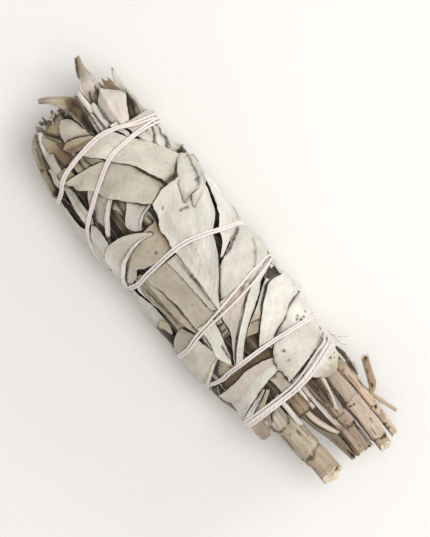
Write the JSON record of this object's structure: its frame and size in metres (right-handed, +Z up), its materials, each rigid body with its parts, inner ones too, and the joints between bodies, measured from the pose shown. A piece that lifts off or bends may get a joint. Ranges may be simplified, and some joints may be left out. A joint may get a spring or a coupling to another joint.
{
  "type": "bound herb bunch",
  "caption": "Lying bunch of dried grey-green leaves folded round their woody stems, bound in crossing turns of doubled cotton thread.",
  "frame": {"origin": "middle of the bunch's box from above, on the surface that it lies on", "axes": "+Y along the bunch towards the leaf tips, +Z up, +X to the right with the tips away from the viewer"},
  "size_m": [0.033, 0.1116, 0.027],
  "materials": {
    "dried_leaf": "matt, felted grey-green dried leaf with brown inner sides",
    "thread": "off-white doubled cotton thread",
    "stem_bark": "dry beige-brown bark with pale cut ends"
  },
  "bodies": {
    "root": {"leaf_bunch": "dried_leaf", "cotton_thread": "thread", "stem_left": "stem_bark", "stem_middle": "stem_bark", "stem_right": "stem_bark", "stem_edge": "stem_bark", "stem_stub": "stem_bark", "stem_spur": "stem_bark", "stem_curved": "stem_bark", "stem_under_left": "stem_bark", "stem_under_middle": "stem_bark", "stem_under_right": "stem_bark", "stem_lowest": "stem_bark"}
  },
  "joints": []
}
